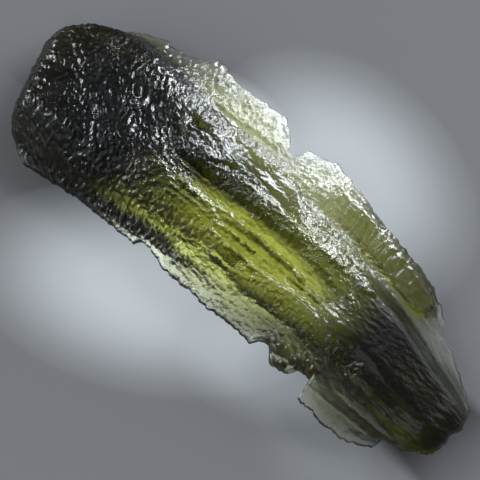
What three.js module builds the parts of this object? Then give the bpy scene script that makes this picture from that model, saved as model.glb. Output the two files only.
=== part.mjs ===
// A moldavite: one lump of natural green glass, shaped like a long flat blade.
// The blade lies on its back with its length along X. One end is thick, round and pitted, the other
// end is a blunt tip, and a thick body with flowing troughs stands on a thin, broken rim.
// The origin is under the middle of the blade, on the surface that it rests on. Units are millimetres.
import * as THREE from "three";

// Plan outline. The two long edges run from the thick end to the tip, and the ends run upwards in Y.
const LOWER_EDGE = [
  [-20.5, -9.7],
  [-17, -9.3],
  [-12.5, -9],
  [-6.7, -9.1],
  [-6.4, -8.6],
  [-5.2, -8.5],
  [-3, -9.4],
  [3, -9.6],
  [7.1, -9.6],
  [8, -10],
  [8.6, -8.9],
  [9.6, -8.9],
  [10.7, -10.2],
  [12.6, -10],
  [13.1, -9],
  [14.5, -9],
  [14.7, -11.1],
  [17.6, -11.5],
  [20.4, -11.5],
  [22.7, -10.4],
  [23, -9.2],
  [24.6, -9.1],
  [26.9, -7.8],
];
const UPPER_EDGE = [
  [-26.5, 6.4],
  [-25.6, 6.7],
  [-23.4, 7.4],
  [-21.4, 9],
  [-18.6, 9.8],
  [-15.7, 10],
  [-13.5, 11.3],
  [-12.2, 11.5],
  [-10, 10.8],
  [-3.6, 10.7],
  [-2.3, 9.7],
  [-1.3, 8],
  [-0.5, 7.8],
  [0.2, 9.3],
  [1.5, 9.4],
  [3.3, 10],
  [6.7, 9.1],
  [10, 7.9],
  [13, 7],
  [16.2, 6.2],
  [19, 4.9],
  [21, 3.4],
  [21.5, 2.1],
  [23, 1.4],
  [25, 0],
  [27.5, -2],
];
const THICK_END = [
  [-20.5, -9.7],
  [-22.1, -9],
  [-24.6, -7.3],
  [-25.4, -5.6],
  [-26.9, -1.4],
  [-27.9, 1.5],
  [-28, 2.8],
  [-27.7, 3.7],
  [-26.4, 5],
  [-26.3, 5.7],
  [-26.5, 6.4],
];
const TIP = [
  [26.9, -7.8],
  [27.6, -6.4],
  [27.6, -5],
  [28, -4],
  [27.5, -2],
];

// Heights above the resting surface, each given along X.
const RIM_HEIGHT = [
  [-28, 3.4],
  [28, 2.4],
];
const CREST_HEIGHT = [
  [-28, 6.6],
  [-23, 7.6],
  [-16, 7.9],
  [-9, 7.4],
  [-2, 6.6],
  [8, 6.2],
  [18, 5.6],
  [25, 4.7],
  [28, 3.8],
];
const BELLY_HEIGHT = [
  [-28, 1.6],
  [-14, 0],
  [4, 0],
  [28, 1],
];

// The thick body stands on the thin rim between two foot lines. A wall this wide rises from each foot.
const LOWER_FOOT = [
  [-28, -9.8],
  [-18, -9.8],
  [-12, -9],
  [-8, -8.4],
  [-3, -7.8],
  [4, -7.2],
  [10, -6.9],
  [16, -7.4],
  [22, -8.3],
  [28, -9],
];
const UPPER_FOOT = [
  [-28, 6.8],
  [-20, 8.4],
  [-14, 7.9],
  [-8, 7.4],
  [-2, 6.4],
  [4, 4.7],
  [10, 2.9],
  [15, 1.7],
  [20, 0.5],
  [23, -1],
  [28, -2.2],
];
const LOWER_WALL = [
  [-28, 4],
  [-20, 5.6],
  [-10, 5.4],
  [-3, 4.2],
  [3, 3.2],
  [8, 2.6],
  [16, 2.4],
  [24, 1.4],
];
const UPPER_WALL = [
  [-28, 2.8],
  [-20, 2.2],
  [-15, 2.4],
  [-10, 4],
  [0, 3],
  [8, 1.6],
  [13, 0.9],
  [28, 0.9],
];
const BELLY_WALL = 3.4;

// Outside the body the rim is a wedge: half its thickness, given by the distance from the outline.
const WEDGE = [
  [0, 0.35],
  [2.5, 0.85],
];

// The edge is round: a blunt nose at the thick end, and a fine one along the rim.
const NOSE_RADIUS = [
  [-28, 2.8],
  [-18, 2.2],
  [-8, 0.8],
  [28, 0.7],
];

// Troughs, flutes and swellings: each runs along a path, with its half width and its rise.
const TOP_FEATURES = [
  { path: [[-6, 4.4], [-2, 4.5], [2, 3.6], [6, 2.2]], half: 1.5, rise: -0.7 },
  { path: [[-5, 0.2], [3, -0.2], [7, -0.8], [12, -2.1]], half: 1.6, rise: -0.7 },
  { path: [[-2, -3], [5, -3.2], [12, -3.9]], half: 1.6, rise: -0.5 },
  { path: [[16, -5.8], [21, -6.9], [26, -7.6]], half: 1.4, rise: -0.9 },
  { path: [[-22, 2], [-16, -1.6], [-8, -3]], half: 1.6, rise: 0.5 },
  { path: [[6, 7], [11, 6], [15, 4.9], [19, 3.6]], half: 1.8, rise: 2 },
  { path: [[10, -8.4], [14, -8.2], [22, -9]], half: 1.3, rise: 0.5 },
];
const UNDER_FEATURES = [
  { path: [[-20, -4.6], [-8, -4.2], [2, -4.6]], half: 1.3, rise: 0.9 },
  { path: [[-16, 5.2], [-6, 4.2]], half: 1.2, rise: 0.8 },
  { path: [[8, -1], [15, -2.6], [22, -4]], half: 1.4, rise: 0.9 },
  { path: [[8, 6.6], [14, 5.2], [19, 3.6]], half: 1.8, rise: -1.3 },
];

// Fineness of the net of facets.
const STATION_STEP = 0.9;
const ROWS = 30;
const SHORTEST_STEP = 0.12;

// How fast the net lets go of a notch in the rim, of the thick end and of the tip.
const RIM_HOLD = 6;
const END_HOLD = 3;
const TIP_HOLD = 12;
const CALM_STEPS = 5;

// How often the search for a place on the upper edge halves its range.
const HALVINGS = 40;

// Value of a row of [place, value] points at a place, on straight lines between the points.
function along(points, place) {
  const next = points.findIndex(([at]) => at > place);
  if (next === 0) return points[0][1];
  if (next < 0) return points[points.length - 1][1];
  const [[a, from], [b, to]] = [points[next - 1], points[next]];
  return THREE.MathUtils.mapLinear(place, a, b, from, to);
}

// The same row with every point rounded off, so that broad forms have no kinks.
function softly(points, place) {
  const next = points.findIndex(([at]) => at > place);
  if (next <= 0) return along(points, place);
  const [[a, from], [b, to]] = [points[next - 1], points[next]];
  return THREE.MathUtils.lerp(from, to, THREE.MathUtils.smoothstep(place, a, b));
}

const swapped = (points) => points.map(([x, y]) => [y, x]);

// Distance from a place in plan to a path of straight pieces.
function distanceTo(path, x, y) {
  const place = new THREE.Vector3(x, y, 0);
  const nearest = new THREE.Vector3();
  let least = Infinity;
  for (let i = 1; i < path.length; i++) {
    const piece = new THREE.Line3(
      new THREE.Vector3(...path[i - 1], 0),
      new THREE.Vector3(...path[i], 0),
    );
    piece.closestPointToPoint(place, true, nearest);
    least = Math.min(least, nearest.distanceTo(place));
  }
  return least;
}

const OUTLINE = [...LOWER_EDGE, ...TIP, ...UPPER_EDGE.toReversed(), ...THICK_END.toReversed()];

// Sum of the features that reach a place: each is a round-bottomed channel or a round-topped swelling.
function relief(features, x, y) {
  let sum = 0;
  for (const { path, half, rise } of features) {
    const reach = 1 - THREE.MathUtils.smoothstep(distanceTo(path, x, y), 0, half);
    sum += rise * reach;
  }
  return sum;
}

// From 0 at the two foot lines to 1 on the body, over the given width of wall.
function bodyShare(x, y, lowerWall, upperWall) {
  const fromLower = THREE.MathUtils.smoothstep(y - along(LOWER_FOOT, x), 0, lowerWall);
  const fromUpper = THREE.MathUtils.smoothstep(along(UPPER_FOOT, x) - y, 0, upperWall);
  return fromLower * fromUpper;
}

// From 0 on the outline to 1 inside, along a quarter circle.
function nose(x, inside) {
  const share = Math.min(1, inside / along(NOSE_RADIUS, x));
  return Math.sqrt(1 - (1 - share) ** 2);
}

function topHeight(x, y) {
  const rim = along(RIM_HEIGHT, x);
  const inside = distanceTo(OUTLINE, x, y);
  const wedge = along(WEDGE, inside);
  const share = bodyShare(x, y, along(LOWER_WALL, x), along(UPPER_WALL, x));
  const plain = THREE.MathUtils.lerp(rim + wedge, softly(CREST_HEIGHT, x), share);
  const shaped = Math.max(plain + relief(TOP_FEATURES, x, y), rim + wedge / 2);
  return THREE.MathUtils.lerp(rim, shaped, nose(x, inside));
}

function underHeight(x, y) {
  const rim = along(RIM_HEIGHT, x);
  const inside = distanceTo(OUTLINE, x, y);
  const wedge = along(WEDGE, inside);
  const share = bodyShare(x, y, BELLY_WALL, BELLY_WALL);
  const plain = THREE.MathUtils.lerp(rim - wedge, softly(BELLY_HEIGHT, x), share);
  const shaped = Math.min(plain + relief(UNDER_FEATURES, x, y), rim - wedge / 2);
  return THREE.MathUtils.lerp(rim, shaped, nose(x, inside));
}

// Places from 0 to 1 along a length: every outline point keeps its own, and wide gaps are filled.
function stations(outlinePlaces, length) {
  const kept = [];
  for (const place of [0, ...outlinePlaces, 1].sort((a, b) => a - b)) {
    const last = kept.at(-1) ?? -Infinity;
    if ((place - last) * length > SHORTEST_STEP) kept.push(place);
  }
  kept[kept.length - 1] = 1;
  return kept.flatMap((place, i) => {
    const gap = i > 0 ? place - kept[i - 1] : 0;
    const pieces = Math.max(1, Math.ceil((gap * length) / STATION_STEP));
    return Array.from({ length: pieces }, (_, k) => place - (gap * (pieces - 1 - k)) / pieces);
  });
}

const LOWER_SPAN = [LOWER_EDGE[0][0], LOWER_EDGE.at(-1)[0]];
const UPPER_SPAN = [UPPER_EDGE[0][0], UPPER_EDGE.at(-1)[0]];
const END_SKEW = UPPER_SPAN[0] - LOWER_SPAN[0];
const TIP_SKEW = UPPER_SPAN[1] - LOWER_SPAN[1];

// The stations cross the blade squarely, and lean with the thick end only near that end.
const lowerX = (u) => THREE.MathUtils.lerp(...LOWER_SPAN, u);
const upperX = (u) => lowerX(u) + END_SKEW * (1 - u) ** END_HOLD + TIP_SKEW * u;

function placeOnUpper(x) {
  let [low, high] = [0, 1];
  for (let i = 0; i < HALVINGS; i++) {
    const middle = (low + high) / 2;
    if (upperX(middle) < x) low = middle;
    else high = middle;
  }
  return (low + high) / 2;
}

// Mean of an edge over a stretch on both sides of a place, which passes over the notches and teeth.
function calm(edge, x) {
  let sum = 0;
  for (let step = -CALM_STEPS; step <= CALM_STEPS; step++) sum += along(edge, x + step);
  return sum / (2 * CALM_STEPS + 1);
}

const rowX = (u, v) => THREE.MathUtils.lerp(lowerX(u), upperX(u), v);

// The rows follow the calm edges, and only those close to the rim turn into its notches and teeth.
function rowY(u, v) {
  const calmLower = calm(LOWER_EDGE, lowerX(u));
  const calmUpper = calm(UPPER_EDGE, upperX(u));
  const lowerNotch = along(LOWER_EDGE, lowerX(u)) - calmLower;
  const upperNotch = along(UPPER_EDGE, upperX(u)) - calmUpper;
  const calmY = THREE.MathUtils.lerp(calmLower, calmUpper, v);
  return calmY + lowerNotch * (1 - v) ** RIM_HOLD + upperNotch * v ** RIM_HOLD;
}

// Plan place of the net at u along the blade and v across it.
function planPlace(u, v) {
  const endBulge = along(swapped(THICK_END), rowY(0, v)) - rowX(0, v);
  const tipBulge = along(swapped(TIP), rowY(1, v)) - rowX(1, v);
  return [rowX(u, v) + endBulge * (1 - u) ** END_HOLD + tipBulge * u ** TIP_HOLD, rowY(u, v)];
}

// Two nets of facets over the same plan, one above and one below, joined along the outline.
function bladeGeometry() {
  const us = stations(
    [
      ...LOWER_EDGE.map(([x]) => THREE.MathUtils.inverseLerp(...LOWER_SPAN, x)),
      ...UPPER_EDGE.map(([x]) => placeOnUpper(x)),
    ],
    LOWER_SPAN[1] - LOWER_SPAN[0],
  );
  const vs = Array.from({ length: ROWS + 1 }, (_, j) => {
    const even = j / ROWS;
    return (even + (1 - Math.cos(Math.PI * even)) / 2) / 2;
  });
  const [lastU, lastV] = [us.length - 1, ROWS];
  const corners = [];
  const net = { top: [], under: [] };
  us.forEach((u, i) => {
    vs.forEach((v, j) => {
      const [x, y] = planPlace(u, v);
      const onRim = i === 0 || j === 0 || i === lastU || j === lastV;
      net.top.push(corners.length / 3);
      net.under.push(onRim ? corners.length / 3 : corners.length / 3 + 1);
      corners.push(x, y, onRim ? along(RIM_HEIGHT, x) : topHeight(x, y));
      if (!onRim) corners.push(x, y, underHeight(x, y));
    });
  });
  const facets = [];
  const addCell = (a, b, c, d, firstDiagonal) => {
    if (firstDiagonal) facets.push(a, b, c, a, c, d);
    else facets.push(a, b, d, b, c, d);
  };
  for (let i = 0; i < lastU; i++) {
    for (let j = 0; j < lastV; j++) {
      const cell = [i * (lastV + 1) + j, (i + 1) * (lastV + 1) + j];
      const ring = [cell[0], cell[1], cell[1] + 1, cell[0] + 1];
      const inward = i < lastU / 2 === j < lastV / 2;
      const [a, b, c, d] = ring.map((k) => net.top[k]);
      addCell(a, b, c, d, inward);
      const [e, f, g, h] = ring.map((k) => net.under[k]);
      addCell(e, h, g, f, inward);
    }
  }
  const geometry = new THREE.BufferGeometry();
  geometry.setAttribute("position", new THREE.Float32BufferAttribute(corners, 3));
  geometry.setIndex(facets);
  geometry.computeVertexNormals();
  return geometry;
}

const glass = new THREE.MeshStandardMaterial({ color: 0x4b5220, roughness: 0.2, metalness: 0 });
const moldavite = new THREE.Mesh(bladeGeometry(), glass);
moldavite.name = "moldavite";

const group = new THREE.Group();
group.add(moldavite);

export default group;
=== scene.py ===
# %% [markdown]
# # A moldavite, step by step
# A moldavite is a drop of natural green glass. This one is a long flat blade: thick, dark and pitted at
# one end, with flowing troughs in the middle, thin pale margins on both sides and a smooth, dark tip.
# The frame gives the blade as a plain solid of facets. The lesson keeps its outline and its thickness,
# lays a much finer net over them, carves the skin of the glass into that net, and then makes it glass.

# %% Load the frame
import math

import bpy
import numpy as np
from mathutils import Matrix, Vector, kdtree
from mathutils.bvhtree import BVHTree


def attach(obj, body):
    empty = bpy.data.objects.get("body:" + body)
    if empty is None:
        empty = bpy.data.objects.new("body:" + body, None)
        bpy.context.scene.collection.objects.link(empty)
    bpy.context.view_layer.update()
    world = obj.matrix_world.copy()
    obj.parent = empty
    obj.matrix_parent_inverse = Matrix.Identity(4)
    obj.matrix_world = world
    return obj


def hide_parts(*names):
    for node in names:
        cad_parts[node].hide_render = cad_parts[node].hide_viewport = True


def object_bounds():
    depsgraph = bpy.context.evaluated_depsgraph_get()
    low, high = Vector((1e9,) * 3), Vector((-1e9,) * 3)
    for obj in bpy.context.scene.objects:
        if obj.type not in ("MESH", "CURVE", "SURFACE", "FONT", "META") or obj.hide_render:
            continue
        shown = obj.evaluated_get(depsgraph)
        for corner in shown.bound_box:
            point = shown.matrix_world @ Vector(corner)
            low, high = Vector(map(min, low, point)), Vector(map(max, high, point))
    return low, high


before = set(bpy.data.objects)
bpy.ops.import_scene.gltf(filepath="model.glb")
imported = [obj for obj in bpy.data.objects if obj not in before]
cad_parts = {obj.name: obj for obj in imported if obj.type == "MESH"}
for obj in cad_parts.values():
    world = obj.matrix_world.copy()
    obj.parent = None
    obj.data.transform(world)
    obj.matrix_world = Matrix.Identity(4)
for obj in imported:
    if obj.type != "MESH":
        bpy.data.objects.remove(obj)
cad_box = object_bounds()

MM = 0.001
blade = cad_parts["moldavite"]
print("blade size, mm:", [round(side / MM, 1) for side in cad_box[1] - cad_box[0]])

# %% [markdown]
# ## The camera
# The stone lies flat and is seen from steeply above, so that its length runs down the picture from the
# upper left to the lower right. A long lens gives little perspective. The camera is placed by its
# distance and two angles round a point inside the blade, because those can be judged.

# %% Place the camera
VIEW_AZIMUTH = math.radians(39)
VIEW_ELEVATION = math.radians(68)
VIEW_DISTANCE = 108.6 * MM
VIEW_TARGET = Vector((0.92, -2.41, 3.0)) * MM
LENS = 85

back = Vector((
    math.sin(VIEW_AZIMUTH) * math.cos(VIEW_ELEVATION),
    -math.cos(VIEW_AZIMUTH) * math.cos(VIEW_ELEVATION),
    math.sin(VIEW_ELEVATION),
))
camera_data = bpy.data.cameras.new("camera")
camera_data.lens = LENS
camera_data.clip_start = 5 * MM
camera_data.clip_end = 2.0
camera = bpy.data.objects.new("camera", camera_data)
camera.location = VIEW_TARGET + back * VIEW_DISTANCE
camera.rotation_euler = (-back).to_track_quat("-Z", "Y").to_euler()
bpy.context.scene.collection.objects.link(camera)
bpy.context.scene.camera = camera
print("camera at, mm:", [round(c / MM, 1) for c in camera.location])

# %% [markdown]
# ## Reading the blade
# Everything that follows is worked out from the solid in the frame. Its corners are joined first, because
# a faceted model stores each corner once per facet. The rim is where a facet that looks up meets one
# that looks down: following those edges gives the outline of the blade.

# %% Join the corners and find the rim
blade.data.calc_loop_triangles()
loose = np.empty(len(blade.data.vertices) * 3)
blade.data.vertices.foreach_get("co", loose)
facets = np.empty(len(blade.data.loop_triangles) * 3, int)
blade.data.loop_triangles.foreach_get("vertices", facets)
corners, joined = np.unique((loose.reshape(-1, 3) / MM).round(3), axis=0, return_inverse=True)
facets = joined.ravel()[facets].reshape(-1, 3)

sides = corners[facets]
looks_up = np.cross(sides[:, 1] - sides[:, 0], sides[:, 2] - sides[:, 0])[:, 2] > 0
edges = np.sort(np.concatenate([facets[:, [0, 1]], facets[:, [1, 2]], facets[:, [2, 0]]]), axis=1)
edges, edge_of = np.unique(edges, axis=0, return_inverse=True)
ups = np.bincount(edge_of.ravel(), weights=np.tile(looks_up, 3))
rim_edges = edges[ups == 1]
print("joined corners:", len(corners), "rim edges:", len(rim_edges))

# %% Walk round the rim
neighbours = {}
for a, b in rim_edges:
    neighbours.setdefault(a, []).append(b)
    neighbours.setdefault(b, []).append(a)
walk = [rim_edges[0][0], rim_edges[0][1]]
while walk[-1] != walk[0]:
    walk.append(next(c for c in neighbours[walk[-1]] if c != walk[-2]))
rim = corners[walk[:-1]]
turned = np.roll(rim, -1, axis=0)
if (rim[:, 0] * turned[:, 1] - rim[:, 1] * turned[:, 0]).sum() < 0:
    rim = rim[::-1]
rim_line = np.polyfit(rim[:, 0], rim[:, 2], 1)
print("rim points:", len(rim), "rim height from", rim[:, 2].min(), "to", rim[:, 2].max())

# %% [markdown]
# ## Four sides
# A net needs four sides. The long ones run from the thick end to the tip, and the short ones close the
# ends. Four corners, given on the outline, say where one side stops and the next begins.

# %% Cut the rim into its four sides
END_LOWER, TIP_LOWER = (-20.5, -9.7), (26.9, -7.8)
TIP_UPPER, END_UPPER = (27.5, -2.0), (-26.5, 6.4)


def nearest_on_rim(place):
    return int(np.argmin(np.hypot(rim[:, 0] - place[0], rim[:, 1] - place[1])))


def stretch(start, stop):
    """The rim from one corner to the next, counter-clockwise."""
    first, last = nearest_on_rim(start), nearest_on_rim(stop)
    count = (last - first) % len(rim) + 1
    return rim[(first + np.arange(count)) % len(rim), :2]


lower_side = stretch(END_LOWER, TIP_LOWER)
tip_side = stretch(TIP_LOWER, TIP_UPPER)
upper_side = stretch(TIP_UPPER, END_UPPER)[::-1]
end_side = stretch(END_UPPER, END_LOWER)[::-1]
print("points on the sides:", len(lower_side), len(tip_side), len(upper_side), len(end_side))

# %% [markdown]
# ## Four kinds of noise
# The skin of the glass was etched in the ground for millions of years. Four patterns cover what that
# leaves behind: ripples (smooth hills and hollows), ridges (ripples folded into sharp crests), scoops
# (bowls that meet in sharp rims) and flakes (small flat faces, each leaning its own way). All are worked
# out from a place in plan, with a fixed number for each square of a lattice, so that every run carves
# the same stone. A place divided by a size in millimetres gives hills of that size, and the seed picks one
# pattern out of many. Blender's own textures could do much of this in a Displace modifier, but plain
# arrays can be masked and bent by each other, which etched glass needs.

# %% Smooth steps and fixed numbers
def smooth(low, high, value):
    """From 0 at low to 1 at high, with round ends."""
    t = np.clip((value - low) / (high - low), 0, 1)
    return t * t * (3 - 2 * t)


def lattice(ix, iy, seed):
    """A fixed number from 0 to 1 for each whole-numbered place."""
    n = (ix * 374761393 + iy * 668265263 + seed * 974634941) & 0xFFFFFFFF
    n = ((n ^ (n >> 13)) * 1274126177) & 0xFFFFFFFF
    n = ((n ^ (n >> 15)) * 668265263) & 0xFFFFFFFF
    return ((n ^ (n >> 16)) & 0xFFFFFF) / 0xFFFFFF


sample = lattice(np.arange(4000), 0, 1)
print("halfway up a step:", smooth(0, 1, 0.5), "mean of the numbers:", round(sample.mean(), 2))

# %% Ripples and ridges
RIPPLE_GAIN = 1.5


def ripples(x, y, seed):
    """Smooth noise from about -1 to 1, one hill or hollow to each unit."""
    ix, iy = np.floor(x).astype(np.int64), np.floor(y).astype(np.int64)
    fx, fy = x - ix, y - iy

    def corner(dx, dy):
        angle = 2 * np.pi * lattice(ix + dx, iy + dy, seed)
        return np.cos(angle) * (fx - dx) + np.sin(angle) * (fy - dy)

    wx = fx ** 3 * (fx * (fx * 6 - 15) + 10)
    wy = fy ** 3 * (fy * (fy * 6 - 15) + 10)
    low = corner(0, 0) + wx * (corner(1, 0) - corner(0, 0))
    high = corner(0, 1) + wx * (corner(1, 1) - corner(0, 1))
    return RIPPLE_GAIN * (low + wy * (high - low))


def ridges(x, y, seed):
    """Sharp crests, from 0 in the hollows to 1 on the crests."""
    return 1 - np.abs(ripples(x, y, seed))


sample = ripples(np.linspace(0, 40, 4000), np.linspace(0, 28, 4000), 1)
print("ripples from", round(sample.min(), 2), "to", round(sample.max(), 2))


# %% Scoops and flakes
def nearby_cells(x, y, seed):
    """The nine squares round each place, and how far the place is from a random point in each."""
    ix, iy = np.floor(x).astype(np.int64), np.floor(y).astype(np.int64)
    for dx in (-1, 0, 1):
        for dy in (-1, 0, 1):
            cell = ix + dx, iy + dy
            yield cell, x - cell[0] - lattice(*cell, seed), y - cell[1] - lattice(*cell, seed + 1)


def scoops(x, y, seed):
    """Bowls with sharp rims, from 0 at the bottom of each bowl to about 1 on its rim."""
    least = np.ones(np.shape(x))
    for _, off_x, off_y in nearby_cells(x, y, seed):
        least = np.minimum(least, off_x ** 2 + off_y ** 2)
    return least


def flakes(x, y, seed, bias=0):
    """Flat faces that lean each its own way, by a slope of up to 1, and towards +y by the bias."""
    least = np.full(np.shape(x), np.inf)
    height = np.zeros(np.shape(x))
    for cell, off_x, off_y in nearby_cells(x, y, seed):
        slope_x = 2 * lattice(*cell, seed + 2) - 1
        slope_y = 2 * lattice(*cell, seed + 3) - 1 - bias
        far = off_x ** 2 + off_y ** 2
        height = np.where(far < least, off_x * slope_x + off_y * slope_y, height)
        least = np.minimum(least, far)
    return height


sample = flakes(np.linspace(0, 40, 4000), np.linspace(0, 28, 4000), 1)
print("flakes from", round(sample.min(), 2), "to", round(sample.max(), 2))

# %% [markdown]
# ## The net in plan
# The net has stations along the blade and rows across it. Each long edge is taken apart into three: a
# calm line that all rows follow, sweeps that the outer rows follow, and chips that only the rows at the
# rim follow. In this way the notches and teeth keep their shape and no cell of the net folds over. The rim
# of the real stone is crumbled, so a little noise goes on all four sides. The solid could be subdivided
# instead, but its facets lie any way, and flow lines need rows that run along the blade.

# %% Stations and rows
STATIONS = 432
TOP_ROWS = 151
UNDER_ROWS = (TOP_ROWS + 1) // 2
TIP_STARTS, TIP_DENSITY = 0.72, 0.5
FINE_STEPS = 2001
END_HOLD = 3


def mix(first, second, share):
    """From the first value to the second, as the share goes from 0 to 1."""
    return first + (second - first) * share


fine = np.linspace(0, 1, FINE_STEPS)
density = mix(1, TIP_DENSITY, smooth(TIP_STARTS, 1, fine))
so_far = np.concatenate([[0], np.cumsum((density[1:] + density[:-1]) / 2)])
u = np.interp(np.linspace(0, 1, STATIONS), so_far / so_far[-1], fine)
v = np.linspace(0, 1, TOP_ROWS)

lower_x = mix(lower_side[0, 0], lower_side[-1, 0], u)
end_skew = upper_side[0, 0] - lower_side[0, 0]
tip_skew = upper_side[-1, 0] - lower_side[-1, 0]
upper_x = lower_x + end_skew * (1 - u) ** END_HOLD + tip_skew * u
print("net of", STATIONS, "stations, rows above and below:", TOP_ROWS, UNDER_ROWS)

# %% Crumble an edge
CHIP_DEPTH, CHIP_LENGTH = 0.16, 0.9
TOOTH_DEPTH, TOOTH_LENGTH = 0.12, 0.35


def crumble(along_edge, seed):
    """Small chips and teeth along an edge, in millimetres."""
    one_row = along_edge * 0 + 0.5
    chips = CHIP_DEPTH * ripples(along_edge / CHIP_LENGTH, one_row, seed)
    return chips + TOOTH_DEPTH * ripples(along_edge / TOOTH_LENGTH, one_row, seed + 1)


def off_the_ends(along_side, hold):
    """0 at both ends of a side and 1 between them."""
    return smooth(0, hold, along_side) * smooth(0, hold, 1 - along_side)


print("chips reach, mm:", round(np.abs(crumble(lower_x, 11)).max(), 2))

# %% Take the long edges apart
CALM_REACH, SWEEP_REACH, CALM_STEPS = 5.0, 2.0, 41
LONG_SIDE_HOLD = 0.03


def calm(places, values, reach):
    """The mean over a stretch on both sides of each place, with the ends held."""
    steps = np.linspace(-reach, reach, CALM_STEPS)
    return np.mean([np.interp(places + step, places, values) for step in steps], axis=0)


off_ends = off_the_ends(u, LONG_SIDE_HOLD)
more_at_thick_end = 2 - smooth(-14, -8, upper_x)
lower_y = np.interp(lower_x, *lower_side.T)
upper_y = np.interp(upper_x, *upper_side.T)
calm_lower, calm_upper = calm(lower_x, lower_y, CALM_REACH), calm(upper_x, upper_y, CALM_REACH)
lower_sweep = calm(lower_x, lower_y - calm_lower, SWEEP_REACH)
upper_sweep = calm(upper_x, upper_y - calm_upper, SWEEP_REACH)
lower_chips = lower_y - calm_lower - lower_sweep + crumble(lower_x, 11) * off_ends
upper_chips = upper_y - calm_upper - upper_sweep + crumble(upper_x, 21) * off_ends * more_at_thick_end
print("sweeps reach, mm:", round(np.abs(lower_sweep).max(), 2), round(np.abs(upper_sweep).max(), 2))

# %% Plan places of the net
SWEEP_HOLD, CHIP_HOLD, TIP_HOLD = 6, 12, 12
END_LENGTH, TIP_LENGTH = 18, 7
SHORT_SIDE_HOLD = 0.05


def row_y(i, v):
    plain = mix(calm_lower[i], calm_upper[i], v)
    lower_turn = lower_sweep[i] * (1 - v) ** SWEEP_HOLD + lower_chips[i] * (1 - v) ** CHIP_HOLD
    upper_turn = upper_sweep[i] * v ** SWEEP_HOLD + upper_chips[i] * v ** CHIP_HOLD
    return plain + lower_turn + upper_turn


def row_x(i, v):
    return mix(lower_x[i], upper_x[i], v)


off_ends = off_the_ends(v, SHORT_SIDE_HOLD)
end_bulge = np.interp(row_y(0, v), *end_side.T[::-1]) - row_x(0, v)
end_bulge += crumble(v * END_LENGTH, 31) * off_ends
tip_bulge = np.interp(row_y(-1, v), *tip_side.T[::-1]) - row_x(-1, v)
tip_bulge += crumble(v * TIP_LENGTH, 41) * off_ends
U = u[:, None] * np.ones(TOP_ROWS)
V = v[None, :] * np.ones((STATIONS, 1))
station = np.arange(STATIONS)[:, None]
X = row_x(station, V) + end_bulge * (1 - U) ** END_HOLD + tip_bulge * U ** TIP_HOLD
Y = row_y(station, V)
print("least step between rows, mm:", round(np.diff(Y, axis=1).min(), 3))
print("plan, mm:", round(X.min(), 2), round(X.max(), 2), round(Y.min(), 2), round(Y.max(), 2))

# %% [markdown]
# ## Heights from the frame
# A ray shot down on the solid at each place of the net gives the height of the top, and a ray shot up
# gives the underside. A Shrinkwrap modifier could lay the net on the solid too, but numbers can be worked
# on before they become a mesh. The facets would show in the glass, so the heights are blurred along both
# ways of the net before any detail goes on. One lip of the upper edge, near the tip, is thin as a pane on
# the real stone, so the glass is pressed flatter there.

# %% Shoot the rays
DOWN, UP = Vector((0, 0, -1)), Vector((0, 0, 1))
FAR = 30.0

solid = BVHTree.FromPolygons(corners.tolist(), facets.tolist())


def heights(start, direction):
    found = np.full(X.shape, np.nan)
    for place in np.ndindex(X.shape):
        hit = solid.ray_cast(Vector((X[place], Y[place], start)), direction)[0]
        if hit is not None:
            found[place] = hit.z
    return found


RIM_Z = np.polyval(rim_line, X)
rise = np.nan_to_num(heights(FAR, DOWN) - RIM_Z)
drop = np.nan_to_num(RIM_Z - heights(-FAR, UP))
print("highest above the rim:", round(rise.max(), 2), "deepest below:", round(drop.max(), 2))

# %% Blur the facets away and thin the lip
FACET_BLUR = 5
LIP_PLACE, LIP_CORE, LIP_REACH = (21.4, 3.3), 0.8, 5
LIP_RISE_LOST, LIP_DROP_LOST = 0.75, 0.5


def blurred(values, cells):
    """A bell-shaped mean over the net, with the edges held."""
    reach = 3 * cells
    bell = np.exp(-0.5 * (np.arange(-reach, reach + 1) / cells) ** 2)
    bell /= bell.sum()
    for axis in (0, 1):
        pad = [(0, 0), (0, 0)]
        pad[axis] = (reach, reach)
        wide = np.pad(values, pad, mode="edge")
        values = np.apply_along_axis(np.convolve, axis, wide, bell, mode="valid")
    return values


lip = 1 - smooth(LIP_CORE, LIP_REACH, np.hypot(X - LIP_PLACE[0], Y - LIP_PLACE[1]))
rise = blurred(rise, FACET_BLUR) * (1 - LIP_RISE_LOST * lip)
drop = blurred(drop, FACET_BLUR) * (1 - LIP_DROP_LOST * lip)
print("after the blur:", round(rise.max(), 2), round(drop.max(), 2))

# %% [markdown]
# ## Distance from the rim
# Several things fade out towards the rim, and the rim itself is round. A search tree of the rim's own
# points gives each place of the net its distance from the nearest one.

# %% Measure the distance from the rim
ROUND_RIM = 0.22
FADE_REACH = 0.6

rim_net = np.concatenate([
    np.stack([X[:, 0], Y[:, 0]], 1), np.stack([X[:, -1], Y[:, -1]], 1),
    np.stack([X[0], Y[0]], 1), np.stack([X[-1], Y[-1]], 1),
])
tree = kdtree.KDTree(len(rim_net))
for index, (x, y) in enumerate(rim_net):
    tree.insert((x, y, 0), index)
tree.balance()
inside = np.array([tree.find((x, y, 0))[2] for x, y in zip(X.ravel(), Y.ravel())]).reshape(X.shape)
nose = np.sqrt(1 - (1 - np.clip(inside / ROUND_RIM, 0, 1)) ** 2)
fade = smooth(0, FADE_REACH, inside)
print("widest distance from the rim, mm:", round(inside.max(), 2))

# %% [markdown]
# ## Where the eye sees each place
# The troughs and ridges below are drawn as the camera sees them, on a level sheet through the stone. The
# camera looks down at a slant, so a high place seems to lie further back than it does. Sliding every
# place of the net along the line of sight to that sheet says where on the drawing it belongs.

# %% Slide the net along the line of sight
SHEET_HEIGHT = 4.5

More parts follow.
